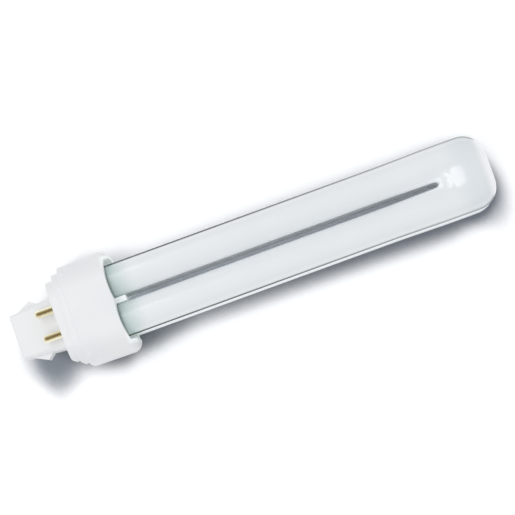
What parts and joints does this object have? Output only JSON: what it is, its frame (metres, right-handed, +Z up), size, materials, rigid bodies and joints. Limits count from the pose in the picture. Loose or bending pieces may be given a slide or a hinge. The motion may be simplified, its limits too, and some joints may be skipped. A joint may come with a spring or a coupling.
{
  "type": "compact fluorescent lamp",
  "caption": "Plug-in compact fluorescent lamp: square-bent twin-U white glass tubes in a white moulded cap with a latching plug and round contact pins.",
  "frame": {"origin": "on the ground under the centre of the bounding box", "axes": "+X from the plug towards the bends; the lamp's axis dips 2.09 degrees below +X as the lamp lies; +Y across the lamp, +Z up"},
  "size_m": [0.166, 0.0342, 0.0345],
  "materials": {
    "coated_glass": "clear glass with a white phosphor coating inside",
    "white_moulding": "satin moulded",
    "pin_brass": "drawn",
    "wire_nickel": "drawn wire",
    "lamp_cement": "matt"
  },
  "bodies": {
    "root": {"discharge_tube": "coated_glass", "tube_collar": "white_moulding", "contact_base": "white_moulding", "fixing_cement": "lamp_cement", "contact_pin_1": "pin_brass", "contact_pin_2": "pin_brass", "contact_pin_3": "pin_brass", "contact_pin_4": "pin_brass", "lead_wire_1": "wire_nickel", "lead_wire_2": "wire_nickel", "lead_wire_3": "wire_nickel", "lead_wire_4": "wire_nickel"}
  },
  "joints": []
}
